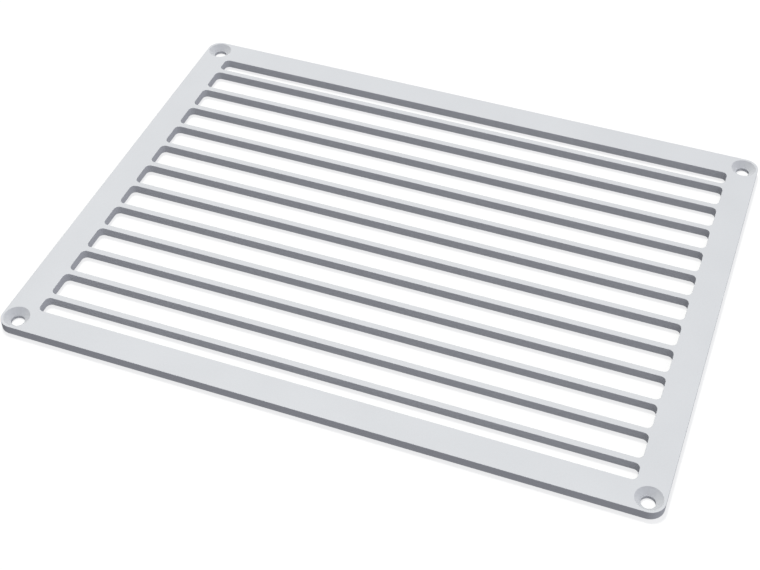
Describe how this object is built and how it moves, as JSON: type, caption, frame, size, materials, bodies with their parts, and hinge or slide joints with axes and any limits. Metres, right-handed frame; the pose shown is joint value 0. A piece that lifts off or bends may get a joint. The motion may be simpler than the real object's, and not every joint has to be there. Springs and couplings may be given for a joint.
{
  "type": "slotted wall vent",
  "caption": "Flat rectangular wall vent plate with long straight through-slots between thin bars, a plain border and a countersunk screw hole in each corner.",
  "frame": {"origin": "centre of the back face, the face that lies against the wall", "axes": "+X along the slots, +Y across the slots in the plane of the plate, +Z out of the front face, away from the wall"},
  "size_m": [0.205, 0.156, 0.003],
  "materials": {
    "powder_coat": "satin light grey powder coat on aluminium sheet"
  },
  "bodies": {
    "root": {"vent_plate": "powder_coat"}
  },
  "joints": []
}
